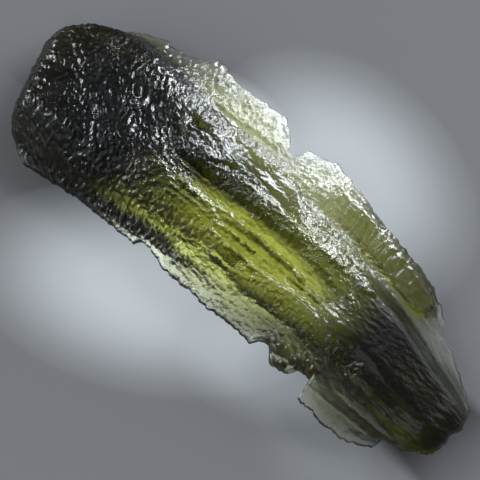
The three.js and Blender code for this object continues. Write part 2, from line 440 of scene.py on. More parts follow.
above_sheet = RIM_Z + rise - SHEET_HEIGHT
SX = X - above_sheet * back.x / back.z
SY = Y - above_sheet * back.y / back.z
print("places slide by up to, mm:", round(np.hypot(SX - X, SY - Y).max(), 2))

# %% [markdown]
# ## Troughs and ridges
# The middle of the blade has long troughs with smooth floors and steep walls, where the flow of the glass
# was etched out, and ridges between them. Each follows a path drawn in millimetres on the sheet, with a
# half width and a depth or height. They could be sculpted with a brush, but a path can be read,
# measured and moved. The first trough lies where the blade falls away, so it also has a tilt, which
# levels its floor. Two maps are kept for later: where the floors are, and where the walls are.

# %% Draw the troughs
TROUGHS = [
    ([(-5.6, 4.5), (-3, 4.3), (0, 3.9), (2, 3.4), (4, 2.7), (5.6, 2.3)], 0.95, 1.2, 1.4),
    ([(-9, -0.3), (-2, -0.4), (1, -0.5), (6, -0.7), (8, -1.2), (10, -1.7), (13, -2.4)], 1.0, 0.75, 0),
    ([(0.7, -4.85), (4.0, -4.95)], 0.72, 1.2, 0),
    ([(-2, -2.4), (3, -2.4), (7, -2.6), (10, -3.2)], 0.45, 0.4, 0),
    ([(-1, -3.5), (4, -3.5), (7, -3.3), (10, -3.5), (12, -3.9)], 0.6, 0.5, 0),
    ([(-10.6, 4), (-9, 3.9), (-8.2, 3.9)], 0.5, 0.9, 0),
    ([(-10, 6.6), (-5, 6.6), (-1, 6.7)], 0.4, 0.45, 0),
    ([(-4.1, 6), (-3, 6)], 0.22, 0.3, 0),
    ([(-12.5, 2.2), (-11.3, 2)], 1.5, 0.35, 0),
    ([(-9.3, 0.5), (-4.2, 0.5)], 0.4, 0.45, 0),
    ([(-6.2, 1.3), (-4.6, 2.3), (-3.2, 2.8)], 0.3, 0.45, 0),
    ([(19, -6.3), (22, -6.7), (26, -7.3)], 0.9, 0.45, 0),
    ([(17, -8.4), (21, -8.6), (25, -8.9)], 0.55, 0.3, 0),
    ([(15, -10.1), (22, -10.2)], 0.18, 0.12, 0),
]


def distance_to(path, x, y):
    """Distance in plan from each place to a path, and how far that is from the nearer end of the path."""
    least = np.full(np.shape(x), np.inf)
    from_start = np.zeros(np.shape(x))
    length = 0
    for (ax, ay), (bx, by) in zip(path, path[1:]):
        dx, dy = bx - ax, by - ay
        part = np.clip(((x - ax) * dx + (y - ay) * dy) / (dx * dx + dy * dy), 0, 1)
        distance = np.hypot(x - ax - part * dx, y - ay - part * dy)
        from_start = np.where(distance < least, length + part * math.hypot(dx, dy), from_start)
        least = np.minimum(least, distance)
        length += math.hypot(dx, dy)
    return least, np.minimum(from_start, length - from_start)


print("troughs:", len(TROUGHS), "of up to", max(len(path) for path, *_ in TROUGHS), "points")

# %% Carve the troughs
FLOOR_ENDS, WALL_ENDS = 0.55, 1.15
LEFT_AT_ENDS, END_TAPER = 0.15, 3.5
WANDER, SMALL_WANDER = 0.16, 0.09

wander = WANDER * ripples(X / 1.6, Y / 1.1, 51) + SMALL_WANDER * ripples(X / 0.6, Y / 0.5, 52)
relief = np.zeros(X.shape)
trough_floor = np.zeros(X.shape)
trough_wall = np.zeros(X.shape)
for path, half_width, depth, tilt in TROUGHS:
    away, from_end = distance_to(path, SX, SY)
    taper = mix(LEFT_AT_ENDS, 1, smooth(0, END_TAPER * half_width, from_end))
    share = (1 - smooth(FLOOR_ENDS, WALL_ENDS, (away + wander) / half_width)) * taper
    relief -= (depth - tilt * (SY - np.interp(SX, *np.transpose(path)))) * share
    trough_floor = np.maximum(trough_floor, share)
    halfway_down = 4 * share * (1 - share)
    trough_wall = np.maximum(trough_wall, halfway_down * min(depth, 1))
print("deepest trough, mm:", round(-relief.min(), 2), "floors' share:", round((trough_floor > 0.5).mean(), 2))

# %% Raise the ridges
RIDGES = [
    ([(-12, 5.2), (-6, 5.4), (0, 5.5), (6, 5.2), (9, 5)], 0.85, 0.15),
    ([(-9, 1.4), (-6.5, 1.3), (-3, 1.1), (0, 1.1), (3, 0.9), (6, 0.6), (8, -0.2)], 1.5, 0.45),
    ([(-7, -1.8), (-5, -1.9), (-3, -2.1), (-1.5, -2.9)], 0.34, 0.22),
    ([(-0.5, -1.4), (2, -1.5), (4, -1.8), (8.2, -2.1)], 0.34, 0.22),
    ([(-1, -2.7), (1.5, -2.85), (4.2, -2.95)], 0.24, 0.18),
    ([(-2.2, -3.9), (-0.2, -3.95), (1, -4.05), (4.4, -4.25)], 0.26, 0.22),
    ([(0.2, -5.7), (2, -5.75), (4.3, -5.55), (5.2, -5)], 0.3, 0.4),
    ([(-11, 3.8), (-10.2, 3), (-9.5, 2.4)], 0.27, 0.4),
    ([(-7.5, -2.6), (-4, -2.6)], 0.2, 0.22),
    ([(-7.6, -3.4), (-5, -3.2)], 0.22, 0.22),
    ([(-9.8, -0.6), (-8, -1), (-4.5, -1)], 0.18, 0.2),
    ([(7.5, 1.2), (9, 1), (11, 0.8)], 0.5, 0.3),
    ([(12.6, 0.3), (14, 0.6)], 0.4, 0.25),
    ([(12.6, -1), (13.4, -1.6)], 0.45, 0.2),
    ([(6, 3.4), (9, 2.9), (12, 2.3)], 0.45, 0.3),
    ([(5.5, -4.9), (9, -5), (13, -5.3), (17, -5.9)], 0.75, 0.1),
]
CREST_ENDS = 0.3
RIDGE_LEFT_AT_ENDS, RIDGE_END_TAPER = 0.5, 2
RIDGE_WANDER = 0.6

crest = np.zeros(X.shape)
for path, half_width, height in RIDGES:
    away, from_end = distance_to(path, SX, SY)
    taper = mix(RIDGE_LEFT_AT_ENDS, 1, smooth(0, RIDGE_END_TAPER * half_width, from_end))
    share = (1 - smooth(CREST_ENDS, 1, (away + RIDGE_WANDER * wander) / half_width)) * taper
    relief += height * share
    crest = np.maximum(crest, share)
print("ridges:", len(RIDGES), "relief from", round(relief.min(), 2), "to", round(relief.max(), 2))

# %% [markdown]
# ## Unrolling the flanks
# A pattern laid on the plan would stretch where the stone falls away to its rim. So the flanks are
# unrolled first: a place that lies lower is moved outwards by as much, and the patterns below are
# worked out there. On level glass nothing moves.

# %% Unroll the flanks
FLANK_STARTS = 4

fall = rise.max() - rise
PX = X - fall * smooth(-19, -27, X)
PY = Y + fall * np.clip(Y / FLANK_STARTS, -1, 1)
print("flanks unroll by up to, mm:", round(np.abs(PY - Y).max(), 2))

# %% [markdown]
# ## Flow lines
# Fine lines and finer hairs run the length of the blade, where streaks in the glass were etched faster
# than the rest. They are ridges of noise, stretched along the rows of the net so that they close up
# towards the tip. The thick end and the tip have none. One broad band in the middle is left almost
# free of them, because the crumpled glass of the next step has to catch the light there undisturbed.

# %% Draw the flow lines
BAND, BAND_HALF = [(-9.5, 1.8), (-3, 1.9), (0, 1.8), (3, 1.5), (6, 1.1), (8, 0.2)], 1.8
CORE_ENDS, PATCH_ENDS = 0.6, 1.1
NET_LENGTH, NET_WIDTH = 55, 18
BEND, BEND_LENGTH, BEND_WIDTH = 0.5, 4, 2.5
LINE_HEIGHT, LINE_LENGTH, LINE_WIDTH, LINE_MEAN = 0.14, 4.5, 0.8, 0.75
FINE_SHARE, FINE_LENGTH, FINE_WIDTH = 0.5, 2.5, 0.36
HAIR_HEIGHT, HAIR_LENGTH, HAIR_WIDTH = 0.05, 3.5, 0.28
LINED_STRETCH, HAIRED_STRETCH = (-15, -7, 9, 14), (-14, -8, 9, 14)
LINES_LOST_IN_BAND, LINES_LOST_ON_FLOORS = 0.9, 0.3


def between(rise_starts, rise_ends, fall_starts, fall_ends):
    """From 0 to 1 and back to 0 along the blade, in millimetres."""
    return smooth(rise_starts, rise_ends, X) * (1 - smooth(fall_starts, fall_ends, X))


flow, across = U * NET_LENGTH, V * NET_WIDTH
bend = BEND * ripples(flow / BEND_LENGTH, across / BEND_WIDTH, 70)
lines = ridges(flow / LINE_LENGTH, across / LINE_WIDTH + bend, 71) ** 2
lines += FINE_SHARE * ridges(flow / FINE_LENGTH, across / FINE_WIDTH + bend, 72) ** 2
hairs = ridges(flow / HAIR_LENGTH + bend, across / HAIR_WIDTH, 73) ** 4

band = 1 - smooth(CORE_ENDS, PATCH_ENDS, distance_to(BAND, SX, SY)[0] / BAND_HALF)
beside_band = 1 - LINES_LOST_IN_BAND * band
lined = between(*LINED_STRETCH) * (1 - LINES_LOST_ON_FLOORS * trough_floor) * beside_band
relief += LINE_HEIGHT * lined * (lines - LINE_MEAN)
relief += HAIR_HEIGHT * between(*HAIRED_STRETCH) * beside_band * hairs
print("flow lines, relief from", round(relief.min(), 2), "to", round(relief.max(), 2))

# %% [markdown]
# ## Crumpled glass
# On the ridges and along the upper rim the glass is crumpled like foil: flat faces half a millimetre
# wide, each of which can flash like a small mirror. Bowls would show a dull spot each; flat faces are
# either bright or dark, which is what makes glass sparkle. A map from 0 to 1 says how crumpled each
# place is: the patches below, the crests and the walls of the troughs most. In the broad band the faces
# lean towards the light. This fine carving is called grain and is pushed out of the surface at the end.

# %% Map the crumpled places
CRUMPLED = [
    ([(-13, 5.4), (-6, 5.6), (0, 5.7), (5, 5.3), (9, 4.6)], 1.1, 1.0),
    (BAND, BAND_HALF, 1.0),
    ([(-13, 8.6), (-8, 8.6), (-3, 8.4), (0, 7.4)], 1.9, 1.0),
    ([(2, 8.8), (5, 7.8)], 1.6, 1.0),
    ([(6, 3), (9, 2.9), (12, 2.3)], 0.8, 0.9),
    ([(7.5, 1.2), (9, 1), (11, 0.8)], 0.6, 1.0),
    ([(12.6, 0.3), (14, 0.6)], 0.5, 1.0),
    ([(12.6, -1), (13.4, -1.6)], 0.5, 0.9),
    ([(4, 6.8), (8, 6), (12, 5)], 1.5, 0.5),
    ([(5.5, -4.9), (9, -5.2), (13, -5.6), (17, -6.2)], 1.1, 0.9),
    ([(-9.5, -1.6), (-6, -1.8), (-2, -2.6)], 0.9, 0.7),
    ([(-21.5, 5.6), (-20.5, 4.8)], 1.0, 0.9),
    ([(-18, 5.6), (-15.6, 4.8)], 1.1, 0.9),
    ([(-16.4, 2.6), (-15.2, 2.2)], 0.7, 0.9),
    ([(-18, -1.4), (-12, -2.6), (-9, -2.8)], 0.6, 0.6),
]
ON_THE_MIDDLE, ON_CRESTS, ON_WALLS, LOST_ON_FLOORS = 0.52, 0.85, 0.9, 0.25
PATCH_WANDER = 2.5
MIDDLE_STRETCH = (-15, -10, 11, 15)

middle = between(*MIDDLE_STRETCH)
crumple = np.maximum(ON_THE_MIDDLE * middle, ON_CRESTS * crest)
for path, half_width, strength in CRUMPLED:
    away = distance_to(path, SX, SY)[0] + PATCH_WANDER * wander
    crumple = np.maximum(crumple, strength * (1 - smooth(CORE_ENDS, PATCH_ENDS, away / half_width)))
crumple *= 1 - LOST_ON_FLOORS * smooth(0.8, 1, trough_floor)
crumple = np.maximum(crumple, ON_WALLS * middle * smooth(0.3, 0.8, trough_wall))
print("crumpled share of the top:", round(float((crumple > 0.5).mean()), 2))

# %% Crumple them
FLAKE_LENGTH, FLAKE_WIDTH, FLAKE_HEIGHT = 0.46, 0.52, 0.32
BAND_FLAKE_HEIGHT, BAND_LEAN = 0.2, 0.7
DENT_LENGTH, DENT_WIDTH, DENT_DEPTH = 0.28, 0.3, 0.08
GRAIN_MEAN = 0.04

leaning = band * (1 - smooth(0.02, 0.2, trough_floor))
bent = 2 * wander
foil = flakes(PX / FLAKE_LENGTH + bent, PY / FLAKE_WIDTH, 61, BAND_LEAN * leaning)
foil *= mix(FLAKE_HEIGHT, BAND_FLAKE_HEIGHT, leaning)
foil += DENT_DEPTH * scoops(PX / DENT_LENGTH, PY / DENT_WIDTH + bent, 66)
grain = crumple * (foil - GRAIN_MEAN)
print("crumples from", round(grain.min(), 2), "to", round(grain.max(), 2))

# %% [markdown]
# ## Pits of the thick end
# The thick end is covered with short pits, less than half a millimetre wide, that lean across the blade.
# Flakes and finer scoops, both stretched along a slanted axis, make them. Along the lower edge they turn
# to stand square to it. The very end sparkles less, so its flakes lean less and its scoops are deeper.
# Broad lumps under them keep the thick end from looking like a smooth dome. The pits could be cut one by
# one, but there are thousands, and noise of the right size and slant looks the same.

# %% Press the pits into the thick end
FLANK_STRETCH, FLANK_TOP = (-21, -16, -5, 1), (-5.5, -3)
PIT_TURN = math.radians(-55)
PIT_LENGTH, PIT_WIDTH, PIT_AT_END, PIT_NEAR_MIDDLE = 0.9, 0.44, 0.15, 0.26
CUP_LENGTH, CUP_WIDTH, CUP_AT_END, CUP_NEAR_MIDDLE = 0.5, 0.28, 0.2, 0.12
SQUARE_PIT_LENGTH, SQUARE_PIT_WIDTH = 0.8, 0.44
SQUARE_CUP_LENGTH, SQUARE_CUP_WIDTH = 0.42, 0.3
LUMP_LENGTH, LUMP_WIDTH, LUMP_HEIGHT = 2.6, 2.0, 0.22

thick_end = 1 - smooth(-13, -7, X + 1.2 * ripples(X / 3, Y / 3, 81))
lower_flank = between(*FLANK_STRETCH) * (1 - smooth(*FLANK_TOP, Y))
near_middle = smooth(-21, -14, X)
along = math.cos(PIT_TURN) * PX + math.sin(PIT_TURN) * PY
aside = math.cos(PIT_TURN) * PY - math.sin(PIT_TURN) * PX

slanted = flakes(along / PIT_LENGTH + bent, aside / PIT_WIDTH, 110)
slanted *= mix(PIT_AT_END, PIT_NEAR_MIDDLE, near_middle)
slanted_cups = scoops(along / CUP_LENGTH, aside / CUP_WIDTH, 84)
slanted += mix(CUP_AT_END, CUP_NEAR_MIDDLE, near_middle) * slanted_cups
square = PIT_NEAR_MIDDLE * flakes(PX / SQUARE_PIT_WIDTH + bent, PY / SQUARE_PIT_LENGTH, 120)
square += CUP_NEAR_MIDDLE * scoops(PX / SQUARE_CUP_WIDTH, PY / SQUARE_CUP_LENGTH, 86)
grain += slanted * thick_end * (1 - lower_flank) + square * lower_flank
grain -= GRAIN_MEAN * np.maximum(thick_end, lower_flank)
relief += LUMP_HEIGHT * ripples(X / LUMP_LENGTH, Y / LUMP_WIDTH, 87) * (1 - smooth(11, 16, X))
print("pits and crumples from", round(grain.min(), 2), "to", round(grain.max(), 2))

# %% [markdown]
# ## Wrinkled margin, bumps and marbled tip
# The thin lower margin has fine wrinkles along its length. Right of the middle it stands in rounded bumps,
# which are scoops turned upside down. Towards the tip the glass is almost polished, with a faint marbling
# of ripples that is stronger along the upper edge, except on the thin lip.

# %% Wrinkle the margin, blow the bumps and marble the tip
MARGIN_STRETCH, MARGIN_TOP = (-6, -2, 9, 12), (-6.5, -5.2)
WRINKLE_HEIGHT, WRINKLE_LENGTH, WRINKLE_WIDTH, WRINKLE_MEAN = 0.14, 1.3, 0.3, 0.8
CREASE_SHARE, CREASE_LENGTH, CREASE_WIDTH = 0.5, 0.5, 0.22
BUMP_STRETCH, BUMP_TOP = (8.5, 10, 14, 15), (-7.6, -6.9)
BUMP_HEIGHT, BUMP_LENGTH, BUMP_WIDTH, BUMP_MEAN = 1.1, 0.8, 0.75, 0.65
MARBLE_HEIGHT, MARBLE_LENGTH, MARBLE_WIDTH = 0.07, 0.7, 0.5
VEIN_HEIGHT, VEIN_LENGTH, VEIN_WIDTH = 0.04, 0.5, 0.3
MORE_AT_UPPER_EDGE = 1.6

margin = between(*MARGIN_STRETCH) * (1 - smooth(*MARGIN_TOP, Y))
wrinkles = ridges(X / WRINKLE_LENGTH + wander, Y / WRINKLE_WIDTH, 88) ** 2
wrinkles += CREASE_SHARE * ridges(X / CREASE_LENGTH, Y / CREASE_WIDTH, 89)
grain += WRINKLE_HEIGHT * margin * (wrinkles - WRINKLE_MEAN)

bubbly = between(*BUMP_STRETCH) * (1 - smooth(*BUMP_TOP, Y))
bumps = 1 - scoops(X / BUMP_LENGTH, Y / BUMP_WIDTH, 91)
relief += BUMP_HEIGHT * bubbly * (bumps - BUMP_MEAN)

marbled = smooth(8, 13, X) * (1 - 0.5 * smooth(14, 18, X))
marbled *= 1 + MORE_AT_UPPER_EDGE * smooth(2, 3.5, Y) * (1 - lip)
marbling = MARBLE_HEIGHT * ripples(PX / MARBLE_LENGTH + wander, PY / MARBLE_WIDTH, 95)
marbling += VEIN_HEIGHT * ridges(PX / VEIN_LENGTH, PY / VEIN_WIDTH + bent, 96)
grain += marbled * marbling
print("relief from", round(relief.min(), 2), "to", round(relief.max(), 2), "mm")

# %% [markdown]
# ## The underside
# The underside was etched in the same way, so it gets pits at the thick end and flow lines elsewhere.
# There the carving only cuts into the stone, so that it still lies on its flat spot, a hair above the
# surface. Under the margin, the bumps and the tip the glass is let down a little instead, because there it
# has to be thick enough to look green.

# %% Carve the underside
UNDER_PIT_DEPTH, UNDER_PIT_WIDTH = 0.4, 0.7
UNDER_LINE_DEPTH, UNDER_LINE_LENGTH, UNDER_LINE_WIDTH = 0.2, 6, 0.9
UNDER_BROAD_DEPTH, UNDER_BROAD_LENGTH, UNDER_BROAD_WIDTH = 0.2, 2.4, 1.8
PITS_LEFT_ELSEWHERE, CUT_LOST_UNDER_MARGIN = 0.15, 0.8
MARGIN_PAD, BUMP_PAD, TIP_PAD = 0.25, 0.7, 0.6

under_pits = scoops(along, aside / UNDER_PIT_WIDTH, 101) * mix(PITS_LEFT_ELSEWHERE, 1, thick_end)
under_lines = ridges(flow / UNDER_LINE_LENGTH, across / UNDER_LINE_WIDTH + bend, 102) ** 2
under_lines *= 1 - thick_end
under_broad = ripples(X / UNDER_BROAD_LENGTH, Y / UNDER_BROAD_WIDTH, 103)
under_broad = np.clip(0.5 + 0.6 * under_broad, 0, 1)
under_cut = UNDER_PIT_DEPTH * under_pits + UNDER_LINE_DEPTH * under_lines
under_cut += UNDER_BROAD_DEPTH * under_broad
under_cut = (under_cut - under_cut.min()) * (1 - CUT_LOST_UNDER_MARGIN * margin)

padding = MARGIN_PAD * margin * smooth(0.3, 3, inside)
padding += BUMP_PAD * bubbly * smooth(0.2, 2, inside)
padding += TIP_PAD * smooth(21, 25, X) * smooth(-10, -8, Y) * smooth(0, 2.5, inside)
print("underside cut by up to, mm:", round(under_cut.max(), 2), "let down by:", round(padding.max(), 2))

# %% [markdown]
# ## One closed mesh
# First the broad shape of both faces is settled. The glass is kept a little thick everywhere, so that no
# trough breaks through. Then the grain is pushed out along the normals of that shape, not straight up:
# on a steep wall a face pushed straight up would be stretched out of sight. The two faces share the
# points of the rim. The underside has only every second row, so that the fine detail goes where it
# shows, and at the two ends its cells take in the row that it skips.

# %% Settle both faces and push out the grain
THINNEST, THINNEST_IN_GRAIN = 0.25, 0.15
TOP_GAP, UNDER_GAP = 0.3, 0.05

under_z = RIM_Z - np.maximum(drop * nose - under_cut * fade, 0) - padding
under_z = np.maximum(under_z, np.minimum(UNDER_GAP, RIM_Z))
top_z = RIM_Z + rise * nose + relief * fade
top_z = np.maximum(top_z, under_z + THINNEST * nose)
top_z = np.minimum(top_z, cad_box[1].z / MM - TOP_GAP)

broad = np.stack([X, Y, top_z], -1)
outwards = np.cross(np.gradient(broad, axis=0), np.gradient(broad, axis=1))
outwards /= np.linalg.norm(outwards, axis=-1, keepdims=True)
upper_face = broad + outwards * (grain * fade)[..., None]
upper_face[..., 2] = np.maximum(upper_face[..., 2], under_z + THINNEST_IN_GRAIN * nose)
lower_face = np.stack([X, Y, under_z], -1)
level_face = np.stack([X, Y, RIM_Z], -1)
for on_rim in (np.s_[[0, -1]], np.s_[:, [0, -1]]):
    upper_face[on_rim] = level_face[on_rim]
print("top from", round(upper_face[..., 2].min(), 2), "to", round(upper_face[..., 2].max(), 2), "mm")

# %% Number the points and join the two faces
top = np.arange(STATIONS * TOP_ROWS).reshape(STATIONS, TOP_ROWS)
under = top[:, ::2].copy()
inner = (STATIONS - 2) * (UNDER_ROWS - 2)
under[1:-1, 1:-1] = top.size + np.arange(inner).reshape(STATIONS - 2, UNDER_ROWS - 2)
lower_points = lower_face[1:-1, ::2][:, 1:-1].reshape(-1, 3)
points = np.concatenate([upper_face.reshape(-1, 3), lower_points]) * MM

top_cells = np.stack([top[:-1, :-1], top[1:, :-1], top[1:, 1:], top[:-1, 1:]], -1)
under_cells = np.stack([under[1:-2, :-1], under[1:-2, 1:], under[2:-1, 1:], under[2:-1, :-1]], -1)
cells = [*top_cells.reshape(-1, 4).tolist(), *under_cells.reshape(-1, 4).tolist()]
for row in range(UNDER_ROWS - 1):
    end_row, tip_row = top[0, 2 * row:2 * row + 3].tolist(), top[-1, 2 * row:2 * row + 3].tolist()
    cells.append([*end_row, under[1, row + 1], under[1, row]])
    cells.append([under[-2, row], under[-2, row + 1], *tip_row[::-1]])

skin = bpy.data.meshes.new("moldavite_skin")
skin.from_pydata(points.tolist(), [], cells)
skin.shade_smooth()
stone = bpy.data.objects.new("moldavite_skin", skin)
bpy.context.scene.collection.objects.link(stone)
print("mesh:", len(skin.vertices), "points,", sum(len(c) - 2 for c in cells), "triangles")

# %% [markdown]
# ## The skin takes over from the solid
# The skin stands in for the plain solid from here on, which is then left out of the picture. It rides on
# the only body there is: a moldavite is one piece of glass, and nothing on it moves.

# %% Put the stone on its body
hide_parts("moldavite")
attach(stone, "root")
print("stone rides on root")

# %% [markdown]
# ## Green glass
# Moldavite is clear glass with a little iron in it, which takes blue out of the light fast and red and
# green more slowly. A green surface would tint thin and thick glass alike, so nothing is painted: the
# surface is colourless, and the inside absorbs. Thin rims come out pale, troughs olive and the thick end
# almost black, all from one set of values.

# %% Make the glass
CLEAR = (1, 1, 1, 1)
GLASS_IOR = 1.49
LEFT_OF_LIGHT = (0.655, 0.655, 0.24, 1)
PER_MM = 1 / MM

glass = bpy.data.materials.new("green_glass")
glass.use_nodes = True
glass_nodes, glass_links = glass.node_tree.nodes, glass.node_tree.links
glass_nodes.clear()
output = glass_nodes.new("ShaderNodeOutputMaterial")
surface = glass_nodes.new("ShaderNodeBsdfPrincipled")
inside_of_glass = glass_nodes.new("ShaderNodeVolumeAbsorption")
surface.inputs["Base Color"].default_value = CLEAR
surface.inputs["Metallic"].default_value = 0
surface.inputs["IOR"].default_value = GLASS_IOR
surface.inputs["Transmission Weight"].default_value = 1
inside_of_glass.inputs["Color"].default_value = LEFT_OF_LIGHT
inside_of_glass.inputs["Density"].default_value = PER_MM
glass_links.new(surface.outputs["BSDF"], output.inputs["Surface"])
glass_links.new(inside_of_glass.outputs["Volume"], output.inputs["Volume"])
skin.materials.append(glass)
print("glass absorbs, per mm of red, green and blue:", [round(1 - c, 3) for c in LEFT_OF_LIGHT[:3]])

# %% [markdown]
# ## The finest wrinkles
# Only wrinkles too fine for the net are left to a bump. They are strong where the glass is crumpled and
# faint on the floors of the troughs and at the tip. Etched glass is also a little dull, and the polished
# places hardly less so. The mesh carries both values for each of its points, and the material reads them.

# %% Note how crumpled and how etched each point is
CRUMPLED_AT_LEAST, CRUMPLED_BELOW = 0.2, 0.3
ETCHING_LOST, ETCHED_BELOW = 0.08, 0.5


def note(name, above, below):
    """Keep a value for each point of the mesh, given over the top of the net and as one value below."""
    values = np.full(len(points), float(below))
    values[:top.size] = np.clip(above, 0, 1).ravel()
    skin.attributes.new(name, "FLOAT", "POINT").data.foreach_set("value", values)
    print(name, "has a mean of", round(values.mean(), 2))


polished = np.maximum(smooth(0.5, 1, trough_floor), 0.5 * smooth(13, 16, X))
note("crumpled", np.maximum(crumple, CRUMPLED_AT_LEAST * (1 - polished)), CRUMPLED_BELOW)
note("etched", 1 - ETCHING_LOST * polished, ETCHED_BELOW)

# %% Wrinkle the glass finely
DENT_SCALE, SPECK_SCALE = 4500, 6500
FAINT_BUMP, STRONG_BUMP, BUMP_DISTANCE = 0.08, 0.9, 0.09 * MM

in_object = glass_nodes.new("ShaderNodeTexCoord")
how_crumpled = glass_nodes.new("ShaderNodeAttribute")
dents = glass_nodes.new("ShaderNodeTexVoronoi")
specks = glass_nodes.new("ShaderNodeTexNoise")
both = glass_nodes.new("ShaderNodeMath")
bump_strength = glass_nodes.new("ShaderNodeMapRange")
bump = glass_nodes.new("ShaderNodeBump")

how_crumpled.attribute_name = "crumpled"
dents.inputs["Scale"].default_value = DENT_SCALE
specks.inputs["Scale"].default_value = SPECK_SCALE
specks.inputs["Detail"].default_value = 2
both.operation = "ADD"
bump_strength.inputs["To Min"].default_value = FAINT_BUMP
bump_strength.inputs["To Max"].default_value = STRONG_BUMP
bump.inputs["Distance"].default_value = BUMP_DISTANCE

for texture in (dents, specks):
    glass_links.new(in_object.outputs["Object"], texture.inputs["Vector"])
glass_links.new(dents.outputs["Distance"], both.inputs[0])
glass_links.new(specks.outputs["Fac"], both.inputs[1])
glass_links.new(both.outputs["Value"], bump.inputs["Height"])
glass_links.new(how_crumpled.outputs["Fac"], bump_strength.inputs["Value"])
glass_links.new(bump_strength.outputs["Result"], bump.inputs["Strength"])
glass_links.new(bump.outputs["Normal"], surface.inputs["Normal"])
print("dents and specks to the millimetre:", DENT_SCALE * MM, SPECK_SCALE * MM)

# %% Dull the glass
LEAST_ROUGH, MOST_ROUGH = 0.06, 0.3

how_etched = glass_nodes.new("ShaderNodeAttribute")
dull = glass_nodes.new("ShaderNodeMapRange")
how_etched.attribute_name = "etched"
dull.inputs["To Min"].default_value = LEAST_ROUGH
dull.inputs["To Max"].default_value = MOST_ROUGH
glass_links.new(how_etched.outputs["Fac"], dull.inputs["Value"])
glass_links.new(dull.outputs["Result"], surface.inputs["Roughness"])
print("glass nodes:", len(glass_nodes))

# %% [markdown]
# ## The floor
# The floor is plain, pale and large, so that its edges never show. It lies a hair below the stone's flat
# spot, because two faces in exactly the same place would flicker.

# %% Lay the floor
FLOOR_SIZE = 1.2
FLOOR_DROP = 0.02 * MM

reach = FLOOR_SIZE / 2
floor_mesh = bpy.data.meshes.new("floor")
floor_corners = [(-reach, -reach, 0), (reach, -reach, 0), (reach, reach, 0), (-reach, reach, 0)]
floor_mesh.from_pydata(floor_corners, [], [(0, 1, 2, 3)])
floor = bpy.data.objects.new("floor", floor_mesh)
floor.location.z = -FLOOR_DROP
bpy.context.scene.collection.objects.link(floor)

pale = bpy.data.materials.new("pale_floor")
pale.use_nodes = True
floor_nodes, floor_links = pale.node_tree.nodes, pale.node_tree.links
floor_mesh.materials.append(pale)
print("floor of", FLOOR_SIZE, "m")

# %% [markdown]
# ## Pools of light
# Glass this dark shows its colour only against light. Soft pools of light lie on the floor beside the stone
# and shine through its thin margins. They are the floor's own glow, because light that a lamp sends
# through glass is slow to gather. Each is an ellipse with a centre, two reaches, a turn and a strength. A
# ramp of brightness against the distance from the centre fades it out, and all the pools are added up.

# %% Shape one pool
POOL_GLOW = [(0, 1.0), (0.28, 0.97), (0.5, 0.72), (0.72, 0.32), (0.94, 0.03), (1, 0)]

on_floor = floor_nodes.new("ShaderNodeTexCoord")


def own_axes(centre, reaches, turn):
    """Places on the floor in axes of their own, where each reach counts as 1: millimetres and degrees."""
    axes = floor_nodes.new("ShaderNodeMapping")
    axes.vector_type = "TEXTURE"
    axes.inputs["Location"].default_value = (centre[0] * MM, centre[1] * MM, 0)
    axes.inputs["Rotation"].default_value = (0, 0, math.radians(turn))
    axes.inputs["Scale"].default_value = (reaches[0] * MM, reaches[1] * MM, 1)
    floor_links.new(on_floor.outputs["Object"], axes.inputs["Vector"])
    return axes.outputs["Vector"]


def pool_glow(centre, reaches, turn, strength):
    """The brightness of one pool: a ramp against the distance from its centre."""
    from_centre = floor_nodes.new("ShaderNodeVectorMath")
    ramp = floor_nodes.new("ShaderNodeValToRGB")
    from_centre.operation = "LENGTH"
    ramp.color_ramp.interpolation = "B_SPLINE"
    while len(ramp.color_ramp.elements) < len(POOL_GLOW):
        ramp.color_ramp.elements.new(0.5)
    for element, (radius, level) in zip(ramp.color_ramp.elements, POOL_GLOW):
        element.position = radius
        element.color = (strength * level, strength * level, strength * level, 1)
    floor_links.new(own_axes(centre, reaches, turn), from_centre.inputs[0])
    floor_links.new(from_centre.outputs["Value"], ramp.inputs["Fac"])
    return ramp.outputs["Color"]


print("a pool fades out in", len(POOL_GLOW), "steps")

# %% Add up the pools
POOLS = [
    ((3.5, 10), (17, 13), -14, 0.44),
    ((-8.5, 8.3), (8, 5), -8, 0.5),
    ((-4, -11), (19, 11), 24, 0.46),
    ((10, -9.5), (9, 6.5), 24, 0.22),
    ((19, -11), (8, 8), 0, 0.1),
]

all_pools = pool_glow(*POOLS[0])
for pool in POOLS[1:]:
    total = floor_nodes.new("ShaderNodeMath")
    total.operation = "ADD"
    floor_links.new(all_pools, total.inputs[0])
    floor_links.new(pool_glow(*pool), total.inputs[1])
    all_pools = total.outputs["Value"]
print("pools of light:", len(POOLS))

# %% [markdown]
# ## Shade under the stone
# Under the thick end and the tip the real stone stays nearly black, so the floor must be dark there. A
# long, soft-edged rectangle under the body of the stone takes away most of the glow and most of the paint.
# The larger of the two distances from its middle, each as a share of its reach, says what is inside.

# %% Find what lies under the stone
SHADE_CENTRE, SHADE_REACH, SHADE_TURN = (2, -1.6), (30, 4.6), -8
SHADE_FULL, SHADE_GONE = 0.7, 1.15
LEFT_IN_SHADE = 0.2

